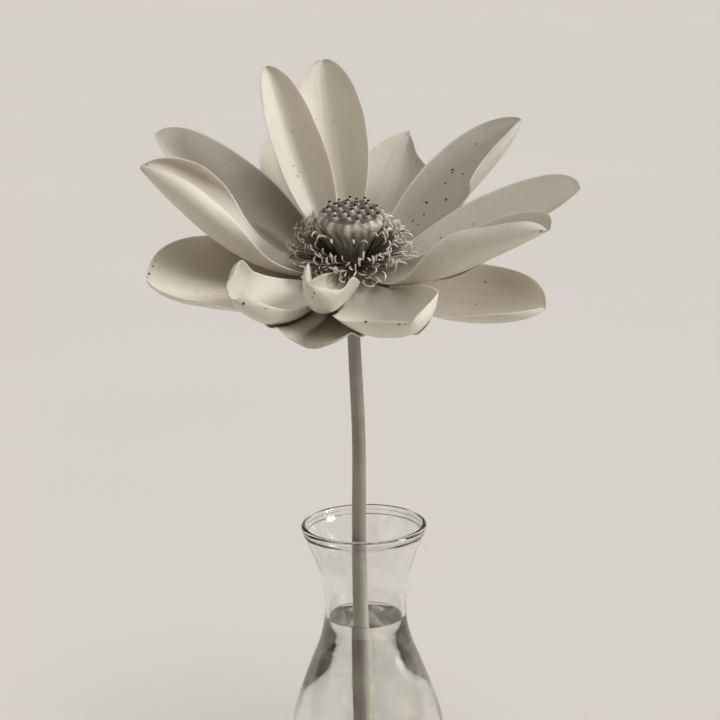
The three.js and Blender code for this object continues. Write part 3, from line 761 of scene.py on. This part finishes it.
def pod_dome(places, angle):
    """Rings of the domed top, with a bump for each carpel, and how proud their points are; the pod's
    colour paints shade between the bumps and highlight on them.
    """
    top_radius, top_height = POD_PROFILE[-1]
    rings, proud = [], []
    for share in np.linspace(1, 0, DOME_RINGS)[1:-1]:
        r = top_radius * share * (1 + 0.028 * np.cos(POD_RIBS * angle) * share)
        x, y = r * np.cos(angle), r * np.sin(angle)
        z = top_height + DOME_HEIGHT * (1 - share ** 2) + 0.12 * np.sin(x * 1.7 + 2) * np.cos(y * 1.9)
        out = np.zeros(POD_SIDES)
        for cx, cy, size, _ in places:
            d = np.hypot(x - cx, y - cy) / size
            z = z + 2.2 * np.exp(-(d / 1.4) ** 2) - 0.4 * np.exp(-((d - 2.1) / 0.5) ** 2)
            out = np.maximum(out, np.exp(-(d / 1.5) ** 2))
        rings.append(np.stack([x, y, z], axis=1))
        proud.append(out)
    return rings, proud


def add_stigma(shape, x, y, size, reach):
    top_radius, top_height = POD_PROFILE[-1]
    ground = top_height + DOME_HEIGHT * (1 - (reach / top_radius) ** 2) + STIGMA_FOOT
    lean = 0.10 * reach / top_radius
    for profile, tag in ((STIGMA_LIP, 2), (STIGMA_MOUTH, 3)):
        stigma = Shape()
        turned(stigma, [(radius * size, height) for radius, height in profile], STIGMA_SIDES)
        p = stigma.points[0]
        p[:, 0] *= 1.15
        p[:, 0] += lean * p[:, 2] + x
        p[:, 1] += y
        p[:, 2] += ground
        shape.add(p, stigma.faces, tag)


def pod():
    shape = Shape()
    angle = turns(POD_SIDES)
    places = list(carpel_places())
    side, side_proud = pod_side(places, angle)
    dome, dome_proud = pod_dome(places, angle)
    points = np.concatenate(side + dome)
    total = len(points)
    faces = grid_faces(total // POD_SIDES, POD_SIDES, wrap=True)
    side_faces = (len(side) - 4) * POD_SIDES
    tags = [0] * side_faces + [1] * (len(faces) - side_faces) + [0, 1] * POD_SIDES
    faces += caps(total, POD_SIDES, total + 1, total)
    marks = np.zeros((total + 2, 2))
    marks[:-2, 0] = np.concatenate(side_proud + dome_proud)
    middle_top = (0, 0, POD_PROFILE[-1][1] + DOME_HEIGHT)
    middle_low = (0, 0, POD_PROFILE[0][1])
    shape.add(np.vstack([points, middle_top, middle_low]), faces, tags, marks)
    for place in places:
        add_stigma(shape, *place)
    looks = [
        pod_look("pod_side", grey(0.30, 1.3), grey(0.66, 1.1)),
        pod_look("pod_top", grey(0.26, 1.2), grey(0.72, 1.1)),
        pod_look("stigma_lip", grey(0.05, 1.5), grey(0.10, 1.4)),
        pod_look("stigma_mouth", grey(0.015, 1.5), grey(0.04, 1.4)),
    ]
    make_piece("pod_with_carpels", in_bloom(shape), looks, "seed_pod")


# Petals

def half_width(petal, s):
    widest = petal.get("widest", 0.58)
    grown = np.sin(math.pi / 2 * np.clip(s / widest, 0, 1)) ** 1.15
    t = np.clip((s - widest) / (1 - widest), 0, 1)
    narrowing = (1 - t ** 2.2) ** petal.get("tip_power", 0.62)
    return petal["wide"] / 2 * np.where(s < widest, CLAW_SHARE + (1 - CLAW_SHARE) * grown, narrowing)


def slope(rise, s):
    """The midrib's slope, on a curve through those at claw, middle and tip."""
    claw, middle, tip = rise
    return np.radians(claw * (1 - s) * (1 - 2 * s) + middle * 4 * s * (1 - s) + tip * s * (2 * s - 1))


def row_shares(rows):
    """Shares of a petal's length, closer together towards the tip."""
    u = np.linspace(0, 1, rows + 1)
    return np.minimum(0.35 * u + 0.65 * (1 - (1 - u) ** 1.6), 0.998)


def running(steps, part):
    """Sums along each row, from nought."""
    start = np.zeros((len(steps), 1))
    return np.concatenate([start, np.cumsum(steps, axis=1)], axis=1) * part / CROSS_STEPS


def petal_sheet(petal, rows, columns):
    """Middle surface of a petal: rows from claw to tip, left margin last."""
    azimuth = math.radians(petal["turn"])
    radial = np.array([math.cos(azimuth), math.sin(azimuth), 0])
    sideways = np.array([-math.sin(azimuth), math.cos(azimuth), 0])
    upright = np.array([0, 0, 1.0])
    angle = slope(petal["rise"], (np.arange(SPINE_STEPS) + 0.5) / SPINE_STEPS)
    stride = petal["long"] / SPINE_STEPS
    out = petal.get("claw", CLAW_RADIUS) + np.concatenate([[0], np.cumsum(np.cos(angle))]) * stride
    high = petal["low"] + np.concatenate([[0], np.cumsum(np.sin(angle))]) * stride
    s = row_shares(rows)
    at = np.linspace(0, 1, SPINE_STEPS + 1)
    middle = np.interp(s, at, out)[:, None] * radial + np.interp(s, at, high)[:, None] * upright
    lean = slope(petal["rise"], s)[:, None]
    up = -np.sin(lean) * radial + np.cos(lean) * upright
    roll = petal.get("roll", (0, 0))
    turn = np.radians(roll[0] + (roll[1] - roll[0]) * s)[:, None]
    left = sideways * np.cos(turn) + up * np.sin(turn)
    face = up * np.cos(turn) - sideways * np.sin(turn)
    reach = half_width(petal, s)
    hem_share = smooth_step(s, 0.3, 0.8)
    hem = petal.get("hem", (0, 0))
    share = petal.get("share", (1, 1))
    f = (np.arange(CROSS_STEPS) + 0.5) / CROSS_STEPS
    v = np.linspace(-1, 1, columns + 1)
    sheet = np.empty((rows + 1, columns + 1, 3))
    cups = petal["cups"]
    halves = ((1, cups[:2], hem[0], share[0]), (-1, cups[2:], hem[1], share[1]))
    for sign, cup, curl, part in halves:
        bend = np.radians(cup[0] + (cup[1] - cup[0]) * s)[:, None]
        heading = bend * f + np.radians(curl) * hem_share[:, None] * f ** 3
        x, y = running(np.cos(heading), part), running(np.sin(heading), part)
        for j in np.flatnonzero(v * sign >= 0):
            k = abs(v[j]) * CROSS_STEPS
            low = min(int(k), CROSS_STEPS - 1)
            rest = k - low
            xj = x[:, low] * (1 - rest) + x[:, low + 1] * rest
            yj = y[:, low] * (1 - rest) + y[:, low + 1] * rest
            sheet[:, j] = middle + left * (sign * xj * reach)[:, None] + face * (yj * reach)[:, None]
    for along, side, length, breadth, by in petal.get("lifts", ()):
        behind = (s[:, None] - along) / length
        beside = (v[None, :] - side) / breadth
        sheet += np.exp(-behind ** 2 - beside ** 2)[:, :, None] * np.array(by, float)
    return sheet


def sheet_normals(sheet):
    along = np.gradient(sheet, axis=0)
    across = np.gradient(sheet, axis=1)
    normal = np.cross(along, across)
    return normal / np.maximum(np.linalg.norm(normal, axis=2), 1e-9)[:, :, None]


def neighbours(field):
    """The sum of the four values round each one; beyond the edges they count as nought."""
    f = np.pad(field, [(1, 1), (1, 1)] + [(0, 0)] * (field.ndim - 2))
    return f[:-2, 1:-1] + f[2:, 1:-1] + f[1:-1, :-2] + f[1:-1, 2:]


def spread(push, touched):
    """The push fades away over the points round those that are touched."""
    field = push
    share = SPREAD_KEEP / neighbours(np.ones(touched.shape))[:, :, None]
    for _ in range(SPREAD_ROUNDS):
        field = np.where(touched[:, :, None], push, neighbours(field) * share)
    return field


def press_under(lower, upper):
    """The lower petal gives way wherever the upper one would cut into it."""
    normals = sheet_normals(upper).reshape(-1, 3)
    points = upper.reshape(-1, 3)
    own = lower.reshape(-1, 3)
    distance = (own ** 2).sum(1)[:, None] + (points ** 2).sum(1)[None] - 2 * own @ points.T
    at = distance.argmin(axis=1)
    facing = normals[at]
    offset = own - points[at]
    height = (offset * facing).sum(1)
    aside = np.sqrt(np.maximum((offset ** 2).sum(1) - height ** 2, 0))
    need = (height + PRESS_GAP) * np.clip((PRESS_FAR - aside) / (PRESS_FAR - PRESS_NEAR), 0, 1)
    touched = (need > 0) & (height < PRESS_REACH)
    if touched.any():
        push = np.where(touched[:, None], -facing * need[:, None], 0)
        lower += spread(push.reshape(lower.shape), touched.reshape(lower.shape[:2]))


def doubled(field, axis):
    """A grid of values with one more value between each two, on a smooth curve."""
    f = np.moveaxis(field, axis, 0)
    ends = np.concatenate([2 * f[:1] - f[1:2], f, 2 * f[-1:] - f[-2:-1]])
    out = np.empty((2 * len(f) - 1,) + f.shape[1:])
    out[::2] = f
    out[1::2] = (9 * (ends[1:-2] + ends[2:-1]) - ends[:-3] - ends[3:]) / 16
    return np.moveaxis(out, 0, axis)


def pressed_sheets():
    """The petals' sheets, pressed on the source's grid and then made finer."""
    plain = {key: petal_sheet(petal, PRESS_ROWS, PRESS_COLUMNS) for key, petal in PETALS.items()}
    pressed = {key: sheet.copy() for key, sheet in plain.items()}
    for _ in range(PRESS_ROUNDS):
        for upper, lower in LAYERS:
            press_under(pressed[lower], pressed[upper])
    fine = {}
    for key, petal in PETALS.items():
        shift = pressed[key] - plain[key]
        for axis in [0] * ROW_DOUBLINGS + [1] * COLUMN_DOUBLINGS:
            shift = doubled(shift, axis)
        fine[key] = petal_sheet(petal, shift.shape[0] - 1, shift.shape[1] - 1) + shift
    return fine


def petal_relief(key, s, v):
    """Soft flutes along the blade, waves at its margins and fine nerves, in millimetres."""
    rng = random.Random("petal " + key)
    phase = [rng.uniform(0, 2 * math.pi) for _ in range(8)]
    edge = np.abs(v) ** 3 * smooth_step(s, 0.25, 0.75)
    side = np.where(v > 0, 1.0, 0.0)
    wave = 0.20 * edge * np.sin(2 * math.pi * 2.3 * s + phase[0] + side * phase[1])
    wave += 0.08 * edge * np.sin(2 * math.pi * 6.1 * s + phase[2] + side * phase[3])
    calm = smooth_step(s, 0.05, 0.3) * (1 - 0.6 * smooth_step(s, 0.8, 1.0))
    flute = 0.08 * calm * np.sin(2 * math.pi * (1.6 * v + 0.4 * s) + phase[4])
    flute += 0.04 * calm * np.sin(2 * math.pi * (4.1 * v - 0.8 * s) + phase[5])
    nerve = -0.018 * calm * np.exp(-(np.sin(math.pi * NERVES * v) / 0.35) ** 2)
    midrib = -0.10 * calm * np.exp(-(v / 0.05) ** 2)
    return wave + flute + nerve + midrib


def petal_shape(key, sheet):
    rows, columns = sheet.shape[:2]
    s = row_shares(rows - 1)[:, None]
    v = np.linspace(-1, 1, columns)[None, :]
    normal = sheet_normals(sheet)
    middle = sheet + normal * petal_relief(key, s, v)[:, :, None]
    inward = middle[0] * np.array([1, 1, 0])
    middle[0] -= 0.9 * inward / np.linalg.norm(inward, axis=1)[:, None]
    normal = sheet_normals(middle)
    claw = np.clip(1 - s / 0.35, 0, 1)
    half = (0.34 + 0.30 * claw) * (1 - 0.62 * np.abs(v) ** 5) * (1 - 0.55 * smooth_step(s, 0.9, 1.0))
    inner = middle + normal * half[:, :, None]
    outer = middle - normal * half[:, :, None]
    shape = Shape()
    points = np.stack([inner, outer]).reshape(-1, 3)
    total = rows * columns
    faces = grid_faces(rows, columns, flip=True)
    faces += grid_faces(rows, columns, start=total)
    at = np.arange(total).reshape(rows, columns)
    loop = np.concatenate([at[0], at[1:, -1], at[-1, -2::-1], at[-2:0:-1, 0]]).tolist()
    for a, b in zip(loop, loop[1:] + loop[:1]):
        faces.append((a, b, b + total, a + total))
    marks = np.stack(np.broadcast_arrays(0.5 + 0.5 * v, s), axis=2).reshape(-1, 2)
    shape.add(points, faces, 0, np.concatenate([marks, marks]))
    rng = random.Random("specks " + key)
    specks = list(SPECKS.get(key, []))
    for _ in range(DUST):
        along, side = rng.uniform(0.25, 0.95), rng.uniform(-0.85, 0.85)
        specks.append((along, side, rng.choice([1, -1]) * rng.uniform(0.25, 0.5)))
    for along, side, width in specks:
        add_speck(shape, inner if width > 0 else outer, along, side, width, rng)
    return shape


def add_speck(shape, face, along, side, width, rng):
    """A small low scab that lies on one face of a blade."""
    rows, columns = face.shape[:2]
    i = np.clip(np.searchsorted(row_shares(rows - 1), along), 1, rows - 2)
    j = np.clip(round((side + 1) / 2 * (columns - 1)), 1, columns - 2)
    centre = face[i, j]
    ahead = face[i + 1, j] - face[i - 1, j]
    beside = face[i, j + 1] - face[i, j - 1]
    ahead /= np.linalg.norm(ahead)
    normal = np.cross(ahead, beside) * (1 if width > 0 else -1)
    normal /= np.linalg.norm(normal)
    beside = np.cross(normal, ahead)
    angle = turns(SPECK_SIDES)
    uneven = (1 + 0.16 * np.sin(2 * angle + rng.uniform(0, 6))
              + 0.12 * np.sin(3 * angle + rng.uniform(0, 6)))
    points = []
    for share, high in SPECK_RINGS:
        r = abs(width) / 2 * share * uneven
        long, wide = (1.2 * r * np.cos(angle))[:, None], (r * np.sin(angle))[:, None]
        points.append(centre + ahead * long + beside * wide + normal * high)
    total = len(SPECK_RINGS) * SPECK_SIDES
    faces = grid_faces(len(SPECK_RINGS), SPECK_SIDES, wrap=True)
    faces += caps(total, SPECK_SIDES, total + 1, total)
    points.append(np.array([centre + normal * 0.08, centre - normal * 0.12]))
    shape.add(np.concatenate(points), faces, 1)


# Stamens

def stamen_line(azimuth, height, foot, rise, length, bend, sway, hook, aside):
    """A thread from the collar: nearly straight, then curled over at its pale tip."""
    position = np.array([foot * math.cos(azimuth), foot * math.sin(azimuth), height])
    centres = []
    stride = length / STAMEN_STEPS
    for k in range(STAMEN_STEPS + 1):
        centres.append(position)
        share = k / STAMEN_STEPS
        late = max(share - CURL_START, 0) / (1 - CURL_START)
        angle = rise + bend * share ** 2 + hook * late ** 1.3 * math.cos(aside)
        heading = azimuth + sway * share + hook * late ** 1.3 * math.sin(aside)
        flat = math.cos(angle)
        step = np.array([flat * math.cos(heading), flat * math.sin(heading), math.sin(angle)])
        position = position + stride * step
    return np.array(centres)


def in_pod(p):
    radii, heights = zip(*POD_PROFILE)
    return 0 < p[2] < POD_TOP and math.hypot(p[0], p[1]) < np.interp(p[2], heights, radii) + POD_ROOM


def leaning_values(rng, azimuth):
    """A long thread that stands against the pod and curls back from it."""
    return (math.radians(azimuth), 2.0, 8.7, math.radians(rng.uniform(61, 66)), rng.uniform(25, 29),
            math.radians(rng.uniform(-6, 0)), 0, math.radians(rng.uniform(-190, -90)),
            rng.uniform(-0.7, 0.7))


def spread_values(rng, k):
    """Those in front lie low, so that they leave the side of the pod in view."""
    azimuth = k * GOLDEN_ANGLE + math.radians(rng.uniform(-7, 7))
    front = max(-math.sin(azimuth), 0)
    layer = rng.random()
    left = max(-math.cos(azimuth), 0) ** 2
    rise = math.radians((12 + 46 * layer) * (1 - front) + (36 * layer - 6) * front)
    length = rng.uniform(24, 31) - 3 * layer - 4 * front
    bend = math.radians(rng.uniform(-10, 12))
    sway = math.radians(rng.uniform(-14, 14) * (1 - 0.5 * left))
    hook = math.radians(rng.uniform(60, 210) if rng.random() < 0.7 else rng.uniform(-120, -30))
    aside = rng.uniform(-0.6, 0.6) * (1 + 2 * front)
    foot = rng.uniform(6.9, 8.2)
    return azimuth, 0.4 + 2.0 * layer, foot, rise, length, bend, sway, hook * (1 - 0.4 * left), aside


def thread_tag(share, dull):
    """Filament, anther, or the appendage with its pale end or its darker end, which is painted shade.
    """
    if share < APPENDAGE_START:
        return 0 if share < ANTHER_START else 1
    return 3 if dull and share < SHADED_TIP_END else 2


def stamens(sheets):
    cloud = np.concatenate([sheet[::2, ::2].reshape(-1, 3) for sheet in sheets.values()])
    petals = kdtree.KDTree(len(cloud))
    for k, p in enumerate(cloud):
        petals.insert(p, k)
    petals.balance()
    share = np.linspace(0, 1, STAMEN_STEPS + 1)
    shape = Shape()
    rng = random.Random(21)
    taken = []
    for k in range(-len(LEANING), STAMENS * 40):
        if len(taken) == STAMENS:
            break
        values = leaning_values(rng, LEANING[k]) if k < 0 else spread_values(rng, k)
        line = stamen_line(*values)
        # A few tips anywhere, and most on the left, where the pod shades the threads, get a darker
        # end: painted shade
        dull = rng.random() < 0.15 + 0.6 * max(-math.cos(values[0]), 0) ** 2 and k >= 0
        tip_radius = rng.uniform(0.36, 0.44) if dull else rng.uniform(0.50, 0.66)
        if any(in_pod(p) for p in line[3:]):
            continue
        if any(petals.find(p)[2] < PETAL_ROOM for p in line[2:]):
            continue
        later = line[7:]
        gaps = [np.min(np.sum((later[:, None] - other[None]) ** 2, axis=2)) for other in taken]
        if taken and min(gaps) < THREAD_ROOM_SQUARED:
            continue
        taken.append(later)
        radii = np.interp(share, THREAD_SHARES, THREAD_RADII + (tip_radius, 0.7 * tip_radius, 0.25))
        tube(shape, line, radii, STAMEN_SIDES, [thread_tag(t, dull) for t in share], flat=0.8)
    ring = Shape()
    turned(ring, COLLAR + [COLLAR[0]], COLLAR_SIDES)
    shape.add(ring.points[0], ring.faces)
    # The filaments' near-black is painted shade of the whorl's hollow; the anthers' dark grey is
    # partly their own tone, partly painted shade
    looks = [
        stamen_look("filament", grey(0.08, 1.5), grey(0.20, 1.3)),
        stamen_look("anther", grey(0.12, 1.4), grey(0.30, 1.2), 0.65),
        stamen_look("appendage", grey(0.56, 1.1), grey(0.90), 0.5),
        # Painted shade on the appendages of the threads in shade
        stamen_look("appendage_painted_shade", grey(0.16, 1.3), grey(0.42, 1.2), 0.6),
    ]
    make_piece("stamen_whorl", in_bloom(shape), looks, "stamens")


# Camera, lights and floor

def camera():
    data = bpy.data.cameras.new("photo_camera")
    data.lens = CAMERA_LENS
    data.sensor_width = SENSOR_WIDTH
    cam = added("photo_camera", data)
    pitch = Matrix.Rotation(math.radians(CAMERA_PITCH), 4, "X")
    roll = Matrix.Rotation(math.radians(CAMERA_ROLL), 4, "Z")
    cam.matrix_world = Matrix.Translation(CAMERA_PLACE) @ (pitch @ roll)
    bpy.context.scene.camera = cam


def lamp(name, turn, height, power, softness):
    turn, height = math.radians(turn), math.radians(height)
    data = bpy.data.lights.new(name, "SUN")
    data.energy = power
    data.angle = math.radians(softness)
    data.color = LAMP_COLOUR
    flat = math.cos(height)
    ray = Vector((math.sin(turn) * flat, -math.cos(turn) * flat, math.sin(height)))
    added(name, data).rotation_euler = ray.to_track_quat("Z", "Y").to_euler()


def sky():
    look = Look("studio", bpy.data.worlds)
    place = look.node("TexCoord").outputs["Generated"]
    height = look.node("SeparateXYZ", {0: place}).outputs[2]
    colour = look.ramp(height, [(0.08, SKY_LOW), (0.75, SKY_HIGH)])
    glow = look.node("Background", {"Color": colour, "Strength": SKY_STRENGTH})
    look.node("OutputWorld", {"Surface": glow.outputs[0]})
    bpy.context.scene.world = look.made


def studio():
    view = bpy.context.scene.view_settings
    view.view_transform = "Standard"
    view.look = "Medium High Contrast"
    for values in LAMPS:
        lamp(*values)
    sky()
    mesh = bpy.data.meshes.new("floor")
    corners = [(x * FLOOR_HALF, y * FLOOR_HALF, 0) for x, y in ((-1, -1), (1, -1), (1, 1), (-1, 1))]
    mesh.from_pydata(corners, [], [(0, 1, 2, 3)])
    mesh.materials.append(floor_look())
    floor = added("floor", mesh)


camera()
studio()
vase()
water()
stem()
pod()
sheets = pressed_sheets()
inner_skin = petal_look("petal_skin", 1.0)
# A darker copy of the petal skin: painted shade for the petals that lie shaded
shaded_skin = petal_look("petal_skin_painted_shade", 0.78)
scab = mottled_look("petal_specks", 900, (0.03, 0.022, 0.014), (0.085, 0.06, 0.036), 0.6, 0.85, 0.1)
for key, sheet in sheets.items():
    skin = shaded_skin if key in SHADED_PETALS else inner_skin
    blade = in_bloom(petal_shape(key, sheet))
    make_piece("petal_" + key + "_blade", blade, [skin, scab], "petal_" + key)
stamens(sheets)
